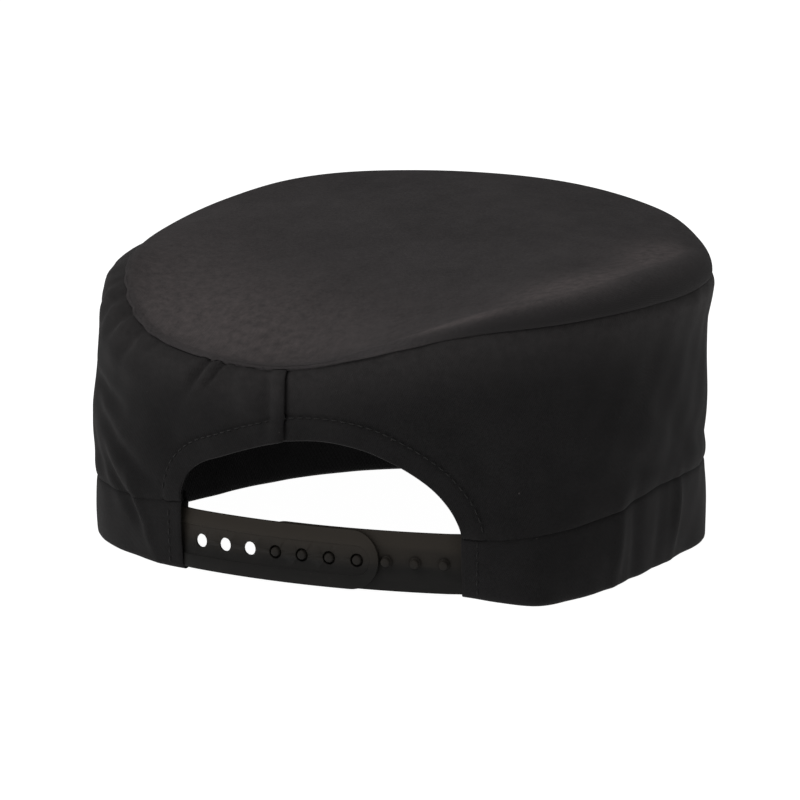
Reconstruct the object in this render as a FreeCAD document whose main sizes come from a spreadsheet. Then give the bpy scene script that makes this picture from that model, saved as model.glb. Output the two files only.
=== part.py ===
import FreeCAD, Part
import math
import os
import Sketcher

# Chef's pillbox skull cap, millimetres. +Z is up, the wearer faces +Y, and the origin is on the table
# under the middle of the headband's outline. Every wall follows one outline of four tangent arcs, drawn
# at its own inward offset.

V = FreeCAD.Vector
doc = FreeCAD.newDocument("chef_skull_cap")

SIZES = [
    # outline of the headband's outer face
    ("half_length", 86.0, "origin to the outline's back and front"),
    ("back_radius", 190.0, "flat arc across the back"),
    ("side_radius", 58.0, "arcs round the back corners"),
    ("front_radius", 97.0, "arc round the front and sides"),
    # crown, which slopes down to the back
    ("seam_back", 70.0, "crown seam above the table, at the back"),
    ("seam_front", 105.4, "crown seam above the table, at the front"),
    ("rim_height", 4.0, "crown's top surface above its seam"),
    ("rim_roll", 2.8, "fillet round the crown's edge"),
    ("twill", 1.0, "cloth of the crown and side panel"),
    ("panel_inset", 0.5, "headband's outer face to the side panel's"),
    ("tape_width", 8.0, "tape over the crown seam inside"),
    # headband, folded up from its bottom edge, open at the back
    ("band_height", 22.5, "table to the band seam"),
    ("band_leg", 0.6, "one layer of the folded band"),
    ("pocket_depth", 3.5, "outer face to the inner leg"),
    ("band_end", 49.5, "middle to each end of the band"),
    ("interlining_face", 0.8, "outer face to the interlining"),
    ("interlining_thickness", 2.4, "felt inside the band"),
    ("interlining_end", 70.0, "middle to each end of the interlining"),
    ("sweatband_thickness", 0.8, "sweatband cloth"),
    ("sweatband_low", 1.5, "sweatband's lower edge above the table"),
    ("sweatband_high", 24.5, "sweatband's upper edge above the table"),
    ("ply_gap", 0.1, "air between two layers sewn together"),
    # rear arch, a curve of three tangent arcs
    ("arch_half_width", 50.0, "middle to the arch's side"),
    ("arch_spring", 20.0, "height at which the arch starts to curve"),
    ("arch_rise", 28.5, "spring line to the arch's top"),
    ("haunch_radius", 22.0, "arcs at the arch's two ends"),
    ("facing_width", 9.0, "strip sewn inside along the arch"),
    ("facing_thickness", 0.7, "cloth of the facing and the seam tape"),
    # snap strap, two moulded halves
    ("strap_low", 1.2, "strap's lower edge above the table"),
    ("strap_width", 19.0, "strap, edge to edge"),
    ("strap_thickness", 1.2, "one half of the strap"),
    ("hole_strap_face", 0.7, "outline to the hole strap's outer face"),
    ("peg_strap_face", 2.2, "outline to the peg strap's outer face"),
    ("flex_line", 47.4, "middle to the line where each half flexes"),
    ("flex_gap", 1.1, "flex line to the end of the sewn tail"),
    ("tail_end", 66.0, "middle to the buried end of each tail"),
    ("snap_pitch", 9.5, "hole to hole and peg to peg"),
    ("first_hole", -41.9, "middle to the first hole, along the strap"),
    ("first_peg", -13.4, "middle to the first peg, along the strap"),
    ("hole_tip", 22.4, "middle to the hole strap's round tip"),
    ("peg_tip", 20.7, "middle to the peg strap's round tip"),
    ("snap_hole_radius", 2.2, "hole for a peg"),
    ("peg_radius", 1.5, "shank of a peg"),
    ("peg_end_radius", 0.9, "tapered end of a peg"),
    ("peg_shank", 1.2, "straight part of a peg"),
    ("peg_taper", 0.5, "tapered part of a peg"),
    # sewing thread and label
    ("stitch_radius", 0.2, "thread"),
    ("thread_gap", 0.04, "thread to the cloth under it"),
    ("stitch_length", 2.3, "one stitch"),
    ("stitch_pitch", 3.2, "stitch to stitch"),
    ("topstitch_inset", 7.0, "arch's edge to its stitch line"),
    ("tack_line", 54.5, "middle to the stitches through each tail"),
    ("label_half_width", 14.0, "half of the care label's width"),
    ("label_low", 4.0, "care label's lower edge"),
    ("label_high", 22.0, "care label's upper edge"),
    ("label_thickness", 0.3, "care label cloth"),
    # construction
    ("reach", 130.0, "prisms and cuts reach past every wall"),
    ("beyond", 140.0, "cuts from outside start here"),
]

SNAPS = 7

# Inward offsets of the faces, each a sum of driving dimensions.
BAND = ()
PANEL = ("panel_inset",)
PANEL_INSIDE = PANEL + ("twill",)
FACING = PANEL_INSIDE + ("ply_gap",)
FACING_INSIDE = FACING + ("facing_thickness",)
POCKET_OUTER = ("band_leg",)
POCKET_INNER = ("pocket_depth",)
BAND_INSIDE = POCKET_INNER + ("band_leg",)
INTERLINING = ("interlining_face",)
INTERLINING_INSIDE = INTERLINING + ("interlining_thickness",)
SWEATBAND = BAND_INSIDE + ("ply_gap",)
SWEATBAND_INSIDE = SWEATBAND + ("sweatband_thickness",)
LABEL = SWEATBAND_INSIDE + ("ply_gap",)
LABEL_INSIDE = LABEL + ("label_thickness",)


def make_sheet():
    """The driving dimensions: a name, a value and a note in each row."""
    sheet = doc.addObject("Spreadsheet::Sheet", "Sizes")
    for row, (name, value, note) in enumerate(SIZES, start=1):
        sheet.set(f"A{row}", name)
        sheet.set(f"B{row}", str(value))
        sheet.set(f"C{row}", note)
        sheet.setAlias(f"B{row}", name)
    doc.recompute()
    return sheet


SHEET = make_sheet()
ALIASES = {name for name, value, note in SIZES}


def size(name):
    """The number in one named cell."""
    return float(SHEET.get(name))


def cells(expression):
    """An expression in plain names, with each name turned into its cell."""
    return " ".join("Sizes." + word if word in ALIASES else word for word in expression.split())


def number(expression):
    """The number behind names joined by + and -."""
    total, sign = 0.0, 1.0
    for word in expression.split():
        if word in ("+", "-"):
            sign = 1.0 if word == "+" else -1.0
        else:
            total += sign * (size(word) if word in ALIASES else float(word))
    return total


# ---------------------------------------------------------------- the outline

BACK_CENTRE = number("back_radius - half_length")
FRONT_CENTRE = number("half_length - front_radius")


def side_centre():
    """Centre of the right-hand arc, tangent inside both the back arc and the front arc."""
    to_back = number("back_radius - side_radius")
    to_front = number("front_radius - side_radius")
    span = BACK_CENTRE - FRONT_CENTRE
    along = (to_front**2 - to_back**2 + span**2) / (2 * span)
    return V(math.sqrt(to_front**2 - along**2), FRONT_CENTRE + along, 0)


SIDE_CENTRE = side_centre()
BACK_ANGLE = math.atan2(SIDE_CENTRE.y - BACK_CENTRE, SIDE_CENTRE.x)
FRONT_ANGLE = math.atan2(SIDE_CENTRE.y - FRONT_CENTRE, SIDE_CENTRE.x)


def add_outline(sketch, offset, tag):
    """The outline at an inward offset, as four tangent arcs with driven radii and centres."""
    left_centre = V(-SIDE_CENTRE.x, SIDE_CENTRE.y, 0)
    layout = [
        ("back_radius", V(0, BACK_CENTRE, 0), -math.pi - BACK_ANGLE, BACK_ANGLE),
        ("side_radius", SIDE_CENTRE, BACK_ANGLE, FRONT_ANGLE),
        ("front_radius", V(0, FRONT_CENTRE, 0), FRONT_ANGLE, math.pi - FRONT_ANGLE),
        ("side_radius", left_centre, math.pi - FRONT_ANGLE, math.pi - BACK_ANGLE),
    ]
    arcs = []
    for radius, centre, first, last in layout:
        circle = Part.Circle(centre, V(0, 0, 1), number(" - ".join((radius,) + offset)))
        arcs.append(sketch.addGeometry(Part.ArcOfCircle(circle, first, last), False))
    for arc, following in zip(arcs, arcs[1:] + arcs[:1]):
        sketch.addConstraint(Sketcher.Constraint("Tangent", arc, 2, following, 1))
    back, right, front, left = arcs
    sketch.addConstraint(Sketcher.Constraint("Equal", left, right))
    for arc, (radius, *_) in zip((back, right, front), layout):
        drive(sketch, radius + tag, " - ".join((radius,) + offset), "Radius", arc)
    for arc, name, height in ((back, "back_centre", "back_radius - half_length"),
                              (front, "front_centre", "half_length - front_radius")):
        sketch.addConstraint(Sketcher.Constraint("PointOnObject", arc, 3, -2))
        drive(sketch, name + tag, height, "DistanceY", -1, 1, arc, 3)


def back_point(x, offset, z):
    """Point on the offset outline's back half at a given x, and the outward direction there."""
    across, radius = x, size("back_radius") - offset
    centre = V(0, BACK_CENTRE, 0)
    if abs(x) > radius * math.cos(BACK_ANGLE):
        centre = V(math.copysign(SIDE_CENTRE.x, x), SIDE_CENTRE.y, 0)
        across, radius = x - centre.x, size("side_radius") - offset
    point = V(x, centre.y - math.sqrt(radius**2 - across**2), 0)
    outward = (point - centre).normalize()
    return point + V(0, 0, z), outward


def along_back(distance, offset):
    """x of the point that lies a given arc length from the middle of the back."""
    back_radius = size("back_radius") - offset
    side_radius = size("side_radius") - offset
    back_length = back_radius * (math.pi / 2 + BACK_ANGLE)
    if abs(distance) <= back_length:
        return back_radius * math.sin(distance / back_radius)
    turn = BACK_ANGLE + (abs(distance) - back_length) / side_radius
    return math.copysign(SIDE_CENTRE.x + side_radius * math.cos(turn), distance)


# ---------------------------------------------------------------- sketches and features

def new_body(label):
    body = doc.addObject("PartDesign::Body", label)
    body.Label = label
    return body


def new_sketch(body, role, name, height="0"):
    """A sketch on one of the body's own origin planes, raised along the plane's normal."""
    sketch = body.newObject("Sketcher::SketchObject", name)
    plane = next(item for item in body.Origin.OriginFeatures if item.Role == role)
    sketch.AttachmentSupport = [(plane, "")]
    sketch.MapMode = "FlatFace"
    sketch.setExpression(".AttachmentOffset.Base.z", cells(height))
    return sketch


def drive(sketch, name, expression, kind, *geometry):
    """Adds a constraint whose value follows the sheet."""
    index = sketch.addConstraint(Sketcher.Constraint(kind, *geometry, number(expression)))
    sketch.renameConstraint(index, name)
    sketch.setExpression("Constraints." + name, cells(expression))


def add_polygon(sketch, corners, tag=""):
    """A closed polygon whose corners are pairs of driven coordinates; returns its edges."""
    points = [V(number(across), number(up), 0) for across, up in corners]
    edges = []
    for start, end in zip(points, points[1:] + points[:1]):
        edges.append(sketch.addGeometry(Part.LineSegment(start, end), False))
    for edge, following in zip(edges, edges[1:] + edges[:1]):
        sketch.addConstraint(Sketcher.Constraint("Coincident", edge, 2, following, 1))
    for edge, (across, up) in zip(edges, corners):
        drive(sketch, f"across{edge}{tag}", across, "DistanceX", -1, 1, edge, 1)
        drive(sketch, f"up{edge}{tag}", up, "DistanceY", -1, 1, edge, 1)
    return edges


def add_rectangle(sketch, left, right, bottom, top):
    add_polygon(sketch, [(left, bottom), (right, bottom), (right, top), (left, top)])


def pad(body, sketch, length):
    """Adds material along the sketch's normal: up from XY, back from XZ, right from YZ."""
    feature = body.newObject("PartDesign::Pad", "pad")
    feature.Profile = sketch
    feature.setExpression("Length", cells(length))
    doc.recompute()
    return feature


def cut(body, sketch, length, side="Symmetric", along_normal=False):
    """Removes material and makes sure that some has gone."""
    before = body.Shape.Volume
    feature = body.newObject("PartDesign::Pocket", "cut")
    feature.Profile = sketch
    feature.SideType = side
    feature.Reversed = along_normal
    feature.setExpression("Length", cells(length))
    doc.recompute()
    if body.Shape.Volume > before - 1.0:
        raise RuntimeError(body.Label + ": a cut removed nothing")
    return feature


def ring_body(label, outer, inner, bottom, height):
    """A wall that follows the whole outline between two inward offsets."""
    body = new_body(label)
    sketch = new_sketch(body, "XY_Plane", "ring", bottom)
    add_outline(sketch, outer, "_outer")
    add_outline(sketch, inner, "_inner")
    pad(body, sketch, height)
    return body


def trim_to_outline(body, outer, inner):
    """Leaves only what lies between two inward offsets of the outline."""
    outside = new_sketch(body, "XY_Plane", "outside")
    add_polygon(outside, [("0 - beyond", "0 - beyond"), ("beyond", "0 - beyond"),
                          ("beyond", "beyond"), ("0 - beyond", "beyond")], "_frame")
    add_outline(outside, outer, "_outer")
    cut(body, outside, "reach + reach")
    inside = new_sketch(body, "XY_Plane", "inside")
    add_outline(inside, inner, "_inner")
    cut(body, inside, "reach + reach")


def seam_slope():
    return number("seam_front - seam_back") / (2 * size("half_length"))


def seam_middle():
    return number("seam_front + seam_back") / 2


def cut_at_slant(body, lift, above):
    """Cuts the body at the crown seam's sloping plane, raised by lift; above or below it goes."""
    sketch = new_sketch(body, "YZ_Plane", "slant")
    slope, middle = seam_slope(), seam_middle() + number(lift)
    far = "reach + reach" if above else "0 - reach"
    reach = size("reach")
    corners = [V(-reach, middle - slope * reach, 0), V(reach, middle + slope * reach, 0),
               V(reach, number(far), 0), V(-reach, number(far), 0)]
    edges = [sketch.addGeometry(Part.LineSegment(start, end), False)
             for start, end in zip(corners, corners[1:] + corners[:1])]
    for edge, following in zip(edges, edges[1:] + edges[:1]):
        sketch.addConstraint(Sketcher.Constraint("Coincident", edge, 2, following, 1))
    for edge, across in zip(edges, ("0 - reach", "reach", "reach", "0 - reach")):
        drive(sketch, f"across{edge}", across, "DistanceX", -1, 1, edge, 1)
    for edge in edges[2:]:
        drive(sketch, f"up{edge}", far, "DistanceY", -1, 1, edge, 1)
    for name, across, height in (("back", "0 - half_length", "seam_back + " + lift),
                                 ("front", "half_length", "seam_front + " + lift)):
        mark = sketch.addGeometry(Part.Point(V(number(across), number(height), 0)), True)
        drive(sketch, "across_" + name, across, "DistanceX", -1, 1, mark, 1)
        drive(sketch, "up_" + name, height, "DistanceY", -1, 1, mark, 1)
        sketch.addConstraint(Sketcher.Constraint("PointOnObject", mark, 1, edges[0]))
    cut(body, sketch, "reach + reach")


def cut_back_gap(body, half_width):
    """Opens a ring at the back, symmetrically, from the middle out to the given half-width."""
    sketch = new_sketch(body, "XZ_Plane", "gap")
    add_rectangle(sketch, "0 - " + half_width, half_width, "0 - reach", "reach")
    cut(body, sketch, "reach", "One side", True)


# ---------------------------------------------------------------- rear arch

def arch_arcs(inset):
    """The arch's three arcs at an outward inset: centre, radius, first and last angle."""
    haunch_across = number("arch_half_width - haunch_radius")
    rise = size("arch_rise")
    haunch = size("haunch_radius")
    crown = (haunch_across**2 + rise**2 - haunch**2) / (2 * (rise - haunch))
    spring = size("arch_spring")
    crown_centre = V(0, spring + rise - crown, 0)
    turn = math.atan2(spring - crown_centre.y, haunch_across)
    right = (V(haunch_across, spring, 0), haunch + inset, 0, turn)
    top = (crown_centre, crown + inset, turn, math.pi - turn)
    left = (V(-haunch_across, spring, 0), haunch + inset, math.pi - turn, math.pi)
    return [right, top, left]


def add_arch(sketch, inset):
    """The arch with its sides carried down past the table; inset names the cells outside it."""
    arcs = []
    for centre, radius, first, last in arch_arcs(sum(size(name) for name in inset)):
        circle = Part.Circle(centre, V(0, 0, 1), radius)
        arcs.append(sketch.addGeometry(Part.ArcOfCircle(circle, first, last), False))
    right, top, left = arcs
    side = number(" + ".join(("arch_half_width",) + inset))
    spring, foot = size("arch_spring"), -size("twill")
    corners = [V(-side, spring, 0), V(-side, foot, 0), V(side, foot, 0), V(side, spring, 0)]
    left_side, floor, right_side = [sketch.addGeometry(Part.LineSegment(start, end), False)
                                    for start, end in zip(corners, corners[1:])]
    for one, other in ((right, top), (top, left), (left, left_side), (right_side, right)):
        sketch.addConstraint(Sketcher.Constraint("Tangent", one, 2, other, 1))
    for one, other in ((left_side, floor), (floor, right_side)):
        sketch.addConstraint(Sketcher.Constraint("Coincident", one, 2, other, 1))
    sketch.addConstraint(Sketcher.Constraint("Equal", left, right))
    sketch.addConstraint(Sketcher.Constraint("PointOnObject", top, 3, -2))
    sketch.addConstraint(Sketcher.Constraint("Vertical", left_side))
    sketch.addConstraint(Sketcher.Constraint("Vertical", right_side))
    sketch.addConstraint(Sketcher.Constraint("Horizontal", floor))
    drive(sketch, "haunch", " + ".join(("haunch_radius",) + inset), "Radius", right)
    drive(sketch, "spring", "arch_spring", "DistanceY", -1, 1, right, 3)
    drive(sketch, "right_side", "arch_half_width - haunch_radius", "DistanceX", -1, 1, right, 3)
    drive(sketch, "left_side", "haunch_radius - arch_half_width", "DistanceX", -1, 1, left, 3)
    drive(sketch, "foot", "0 - twill", "DistanceY", -1, 1, floor, 1)
    apex = " + ".join(("arch_spring", "arch_rise") + inset)
    mark = sketch.addGeometry(Part.Point(V(0, number(apex), 0)), True)
    sketch.addConstraint(Sketcher.Constraint("PointOnObject", mark, 1, -2))
    sketch.addConstraint(Sketcher.Constraint("PointOnObject", mark, 1, top))
    drive(sketch, "apex", apex, "DistanceY", -1, 1, mark, 1)


def rear_arch_cut(body):
    sketch = new_sketch(body, "XZ_Plane", "arch")
    add_arch(sketch, ())
    cut(body, sketch, "reach", "One side", True)


def make_arch_facing():
    """Strip inside the side panel that follows the arch and is caught in the band seam."""
    body = new_body("arch_facing")
    blank = new_sketch(body, "XZ_Plane", "blank")
    add_arch(blank, ("facing_width",))
    pad(body, blank, "reach")
    rear_arch_cut(body)
    foot = new_sketch(body, "XZ_Plane", "foot")
    add_rectangle(foot, "0 - reach", "reach", "0 - reach", "strap_low + strap_width + ply_gap")
    cut(body, foot, "reach", "One side", True)
    trim_to_outline(body, FACING, FACING_INSIDE)
    return body


# ---------------------------------------------------------------- cloth

def round_top(body, radius):
    """Rounds every edge of the body's topmost face."""
    block = body.Tip
    top = max(block.Shape.Faces, key=lambda face: face.CenterOfMass.z)
    rim = [f"Edge{index}" for index, edge in enumerate(block.Shape.Edges, start=1)
           if any(edge.isSame(border) for border in top.Edges)]
    fillet = body.newObject("PartDesign::Fillet", "roll")
    fillet.Base = (block, rim)
    fillet.setExpression("Radius", cells(radius))
    doc.recompute()


def make_crown_panel():
    """Top panel, a shallow pan whose edge rolls down to the seam, sheared to the cap's slope."""
    pan = new_body("crown_pan")
    outline = new_sketch(pan, "XY_Plane", "outline")
    add_outline(outline, PANEL, "")
    pad(pan, outline, "rim_height")
    round_top(pan, "rim_roll")
    hollow = new_sketch(pan, "XY_Plane", "hollow")
    add_outline(hollow, PANEL_INSIDE, "")
    cut(pan, hollow, "rim_height - twill", "One side", True)
    slope = FreeCAD.Matrix()
    slope.A32 = seam_slope()
    slope.A34 = seam_middle()
    panel = doc.addObject("Part::Feature", "crown_panel")
    panel.Shape = pan.Shape.transformGeometry(slope)
    return panel


def make_side_panel():
    """Wall from the band seam up to the crown seam, open at the rear arch."""
    body = ring_body("side_panel", PANEL, PANEL_INSIDE, "band_height", "reach - band_height")
    cut_at_slant(body, "0", above=True)
    rear_arch_cut(body)
    return body


def make_crown_seam_tape():
    """Tape sewn over the crown seam, round the inside of the side panel."""
    body = ring_body("crown_seam_tape", FACING, FACING_INSIDE, "band_height", "reach - band_height")
    cut_at_slant(body, "0 - ply_gap", above=True)
    cut_at_slant(body, "0 - tape_width", above=False)
    return body


def make_headband():
    """Band folded up from its bottom edge into a channel, with its two ends open."""
    body = ring_body("headband", BAND, BAND_INSIDE, "0", "band_height")
    channel = new_sketch(body, "XY_Plane", "channel", "band_height")
    add_outline(channel, POCKET_OUTER, "_outer")
    add_outline(channel, POCKET_INNER, "_inner")
    cut(body, channel, "band_height - band_leg", "One side")
    cut_back_gap(body, "band_end")
    return body


def make_interlining():
    """Felt that fills the headband's channel between the two strap tails."""
    body = ring_body("headband_interlining", INTERLINING, INTERLINING_INSIDE,
                     "band_leg + ply_gap", "band_height - band_leg - ply_gap - band_leg")
    cut_back_gap(body, "interlining_end")
    return body


def make_sweatband():
    body = ring_body("sweatband", SWEATBAND, SWEATBAND_INSIDE,
                     "sweatband_low", "sweatband_high - sweatband_low")
    cut_back_gap(body, "band_end")
    return body


def make_care_label():
    """Blank label on the sweatband, at the wearer's right."""
    body = new_body("care_label")
    sketch = new_sketch(body, "YZ_Plane", "blank")
    add_rectangle(sketch, "0 - label_half_width", "label_half_width", "label_low", "label_high")
    pad(body, sketch, "reach")
    trim_to_outline(body, LABEL, LABEL_INSIDE)
    return body


# ---------------------------------------------------------------- snap strap

def strap_elevation(body, side, tip):
    """The loose half of a strap seen from behind: from its flex line to its round tip."""
    sketch = new_sketch(body, "XZ_Plane", "elevation")
    sign = -1 if side == "left" else 1
    flex = sign * size("flex_line")
    low, high = size("strap_low"), number("strap_low + strap_width")
    nose = size("strap_width") / 2
    tip_centre = V(-sign * (size(tip) - nose), low + nose, 0)
    start, end = (-math.pi / 2, math.pi / 2) if side == "left" else (math.pi / 2, 3 * math.pi / 2)
    nose_circle = Part.Circle(tip_centre, V(0, 0, 1), nose)
    round_end = sketch.addGeometry(Part.ArcOfCircle(nose_circle, start, end), False)
    arc_ends = ((1, low), (2, high)) if side == "left" else ((2, low), (1, high))
    lines = []
    for arc_end, height in arc_ends:
        line = sketch.addGeometry(Part.LineSegment(V(flex, height, 0), V(tip_centre.x, height, 0)), False)
        sketch.addConstraint(Sketcher.Constraint("Horizontal", line))
        sketch.addConstraint(Sketcher.Constraint("Tangent", line, 2, round_end, arc_end))
        lines.append(line)
    root = sketch.addGeometry(Part.LineSegment(V(flex, low, 0), V(flex, high, 0)), False)
    for end_of_root, line in ((1, lines[0]), (2, lines[1])):
        sketch.addConstraint(Sketcher.Constraint("Coincident", root, end_of_root, line, 1))
    sketch.addConstraint(Sketcher.Constraint("Vertical", root))
    drive(sketch, "low", "strap_low", "DistanceY", -1, 1, root, 1)
    drive(sketch, "high", "strap_low + strap_width", "DistanceY", -1, 1, root, 2)
    drive(sketch, "flex", "0 - flex_line" if side == "left" else "flex_line",
          "DistanceX", -1, 1, root, 1)
    mark = sketch.addGeometry(Part.Point(V(-sign * size(tip), low + nose, 0)), True)
    sketch.addConstraint(Sketcher.Constraint("PointOnObject", mark, 1, round_end))
    sketch.addConstraint(Sketcher.Constraint("Horizontal", mark, 1, round_end, 3))
    drive(sketch, "tip", tip if side == "left" else "0 - " + tip, "DistanceX", -1, 1, mark, 1)
    return sketch


def upright_cylinder(label, side, offset, z_names, height, radius):
    """Vertical cylinder on the strap's flex line."""
    sign = -1 if side == "left" else 1
    post = doc.addObject("Part::Cylinder", label)
    post.setExpression("Radius", cells(radius))
    post.setExpression("Height", cells(height))
    post.Placement.Base = back_point(sign * size("flex_line"), offset, number(z_names))[0]
    return post


def strap_blank(label, side, face, tip):
    """One half of the strap, curved to the outline, with a rounded root on its flex line."""
    body = new_body(label + "_sheet")
    pad(body, strap_elevation(body, side, tip), "reach")
    trim_to_outline(body, (face,), (face, "strap_thickness"))
    middle = size(face) + size("strap_thickness") / 2
    root = upright_cylinder(label + "_root", side, middle, "strap_low", "strap_width",
                            "strap_thickness / 2")
    return body, root


def snap_positions(first, offset):
    """Point and outward direction at each hole or peg along the strap."""
    height = size("strap_low") + size("strap_width") / 2
    for index in range(SNAPS):
        distance = size(first) + index * size("snap_pitch")
        yield back_point(along_back(distance, offset), offset, height)


def turned_out(part, point, outward, lead):
    """Places a primitive so that its own Z axis runs outward, starting lead before the point."""
    part.Placement = FreeCAD.Placement(point - outward * lead, FreeCAD.Rotation(V(0, 0, 1), outward))


def make_hole_strap():
    """Outer half of the strap, hinged at the left, with its row of holes."""
    body, root = strap_blank("hole_strap", "left", "hole_strap_face", "hole_tip")
    blank = doc.addObject("Part::MultiFuse", "hole_strap_blank")
    blank.Shapes = [body, root]
    drills = []
    for point, outward in snap_positions("first_hole", number("hole_strap_face + strap_thickness")):
        drill = doc.addObject("Part::Cylinder", "snap_drill")
        drill.setExpression("Radius", cells("snap_hole_radius"))
        drill.setExpression("Height", cells("3 * strap_thickness"))
        turned_out(drill, point, outward, size("strap_thickness"))
        drills.append(drill)
    row = doc.addObject("Part::MultiFuse", "snap_holes")
    row.Shapes = drills
    strap = doc.addObject("Part::Cut", "hole_strap")
    strap.Base = blank
    strap.Tool = row
    return strap


def make_peg_strap():
    """Inner half of the strap, hinged at the right, with its row of moulded pegs."""
    body, root = strap_blank("peg_strap", "right", "peg_strap_face", "peg_tip")
    pieces = [body, root]
    for point, outward in snap_positions("first_peg", size("peg_strap_face")):
        shank = doc.addObject("Part::Cylinder", "peg_shank")
        shank.setExpression("Radius", cells("peg_radius"))
        shank.setExpression("Height", cells("peg_shank + strap_thickness / 2"))
        turned_out(shank, point, outward, size("strap_thickness") / 2)
        taper = doc.addObject("Part::Cone", "peg_taper")
        taper.setExpression("Radius1", cells("peg_radius"))
        taper.setExpression("Radius2", cells("peg_end_radius"))
        taper.setExpression("Height", cells("peg_taper"))
        turned_out(taper, point, outward, -size("peg_shank"))
        pieces += [shank, taper]
    strap = doc.addObject("Part::MultiFuse", "peg_strap")
    strap.Shapes = pieces
    return strap


def make_tail(label, side, face):
    """The part of a strap that is sewn into the headband, up to its flex line."""
    body = new_body(label)
    sketch = new_sketch(body, "XZ_Plane", "elevation")
    near, far = "flex_line + flex_gap", "tail_end"
    if side == "left":
        near, far = "0 - flex_line - flex_gap", "0 - tail_end"
    left, right = (far, near) if side == "left" else (near, far)
    add_rectangle(sketch, left, right, "strap_low", "strap_low + strap_width")
    pad(body, sketch, "reach")
    trim_to_outline(body, (face,), (face, "strap_thickness"))
    return body


# ---------------------------------------------------------------- stitches

def stitch(start, direction):
    return Part.makeCylinder(size("stitch_radius"), size("stitch_length"), start, direction)


def thread_group(label, stitches):
    """One line of sewing thread: the stitches that show, as separate solids."""
    group = doc.addObject("Part::Feature", label)
    group.Shape = Part.Compound(stitches)
    return group


def on_cloth(x, z, face):
    """Where a stitch's middle line lies on the cloth whose outer face is a given inward offset."""
    return back_point(x, face - number("stitch_radius + thread_gap"), z)[0]


def make_arch_topstitch():
    """Stitches that hold the facing, in a line along the arch from band seam to band seam."""
    arcs = [Part.Arc(*[Part.Circle(centre, V(0, 0, 1), radius).value(angle)
                       for angle in (first, (first + last) / 2, last)]).toShape()
            for centre, radius, first, last in arch_arcs(size("topstitch_inset"))]
    line = Part.Wire(arcs)
    marks = line.discretize(Distance=size("stitch_pitch"))
    low = number("band_height + stitch_length")
    stitches = []
    for mark, following in zip(marks, marks[1:]):
        if min(mark.y, following.y) > low:
            start = on_cloth(mark.x, mark.y, size("panel_inset"))
            end = on_cloth(following.x, following.y, size("panel_inset"))
            stitches.append(stitch(start, end - start))
    return thread_group("arch_topstitch", stitches)


def make_tail_stitches(label, side):
    """Upright row of stitches through the headband and one strap tail."""
    sign = -1 if side == "left" else 1
    low = size("strap_low")
    count = int(size("strap_width") // size("stitch_pitch"))
    stitches = []
    for index in range(count):
        start = on_cloth(sign * size("tack_line"), low + (index + 0.5) * size("stitch_pitch"), 0)
        stitches.append(stitch(start, V(0, 0, 1)))
    return thread_group(label, stitches)


# ---------------------------------------------------------------- assembly

def check_document():
    """Stops if any object failed to compute."""
    doc.recompute()
    for item in doc.Objects:
        if "Invalid" in item.State or "Error" in item.State:
            raise RuntimeError(item.Label + " failed: " + ", ".join(item.State))


def export(nodes):
    """Writes each sub-part to its own file, named by its label."""
    os.makedirs("parts", exist_ok=True)
    for node in nodes:
        if node.Shape.isNull() or not node.Shape.isValid():
            raise RuntimeError(node.Label + " has no valid shape")
        node.Shape.exportStep(f"parts/{node.Label}.step")
        box = node.Shape.BoundBox
        print(f"{node.Label}: {len(node.Shape.Solids)} solids, {node.Shape.Volume:.1f} mm3, "
              f"z {box.ZMin:.2f} to {box.ZMax:.2f}")


nodes = [
    make_crown_panel(),
    make_side_panel(),
    make_crown_seam_tape(),
    make_arch_facing(),
    make_headband(),
    make_interlining(),
    make_sweatband(),
    make_care_label(),
    make_hole_strap(),
    make_peg_strap(),
    make_tail("hole_strap_tail", "left", "hole_strap_face"),
    make_tail("peg_strap_tail", "right", "peg_strap_face"),
    make_arch_topstitch(),
    make_tail_stitches("hole_strap_stitches", "left"),
    make_tail_stitches("peg_strap_stitches", "right"),
]
check_document()
export(nodes)
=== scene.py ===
import math

import bmesh
import bpy
import numpy as np
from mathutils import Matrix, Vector
from mathutils.geometry import delaunay_2d_cdt


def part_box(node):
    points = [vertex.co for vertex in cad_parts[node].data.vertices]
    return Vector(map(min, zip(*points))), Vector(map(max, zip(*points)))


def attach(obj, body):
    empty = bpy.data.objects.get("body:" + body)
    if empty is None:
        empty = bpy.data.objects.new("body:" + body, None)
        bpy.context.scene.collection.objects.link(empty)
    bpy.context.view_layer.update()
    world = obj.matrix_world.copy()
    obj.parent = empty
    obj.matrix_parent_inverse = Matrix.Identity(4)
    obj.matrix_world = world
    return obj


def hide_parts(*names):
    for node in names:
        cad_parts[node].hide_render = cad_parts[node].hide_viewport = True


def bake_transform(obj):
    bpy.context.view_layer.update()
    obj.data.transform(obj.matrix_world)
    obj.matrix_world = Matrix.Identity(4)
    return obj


# Chef's pillbox skull cap seen from behind. Lengths are in millimetres and turn into metres when a
# mesh is made. "along" is the distance round the headband's outline from the centre back, growing
# towards the wearer's right (+X), and "out" is the distance outside that outline.

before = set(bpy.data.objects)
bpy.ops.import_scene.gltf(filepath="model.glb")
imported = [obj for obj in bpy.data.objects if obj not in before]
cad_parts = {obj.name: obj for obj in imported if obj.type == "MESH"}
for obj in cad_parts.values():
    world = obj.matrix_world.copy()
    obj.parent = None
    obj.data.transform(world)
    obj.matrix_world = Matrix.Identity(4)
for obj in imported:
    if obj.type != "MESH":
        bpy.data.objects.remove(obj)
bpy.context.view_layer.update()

MM = 0.001


# ---------------- sizes read from the frame

def corners_mm(node):
    """Lowest and highest corner of a CAD node, in millimetres."""
    low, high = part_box(node)
    return np.array(low) / MM, np.array(high) / MM


def heights_mm(node):
    """Height of a CAD node's lowest and highest point, in millimetres."""
    low, high = corners_mm(node)
    return low[2], high[2]


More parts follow.
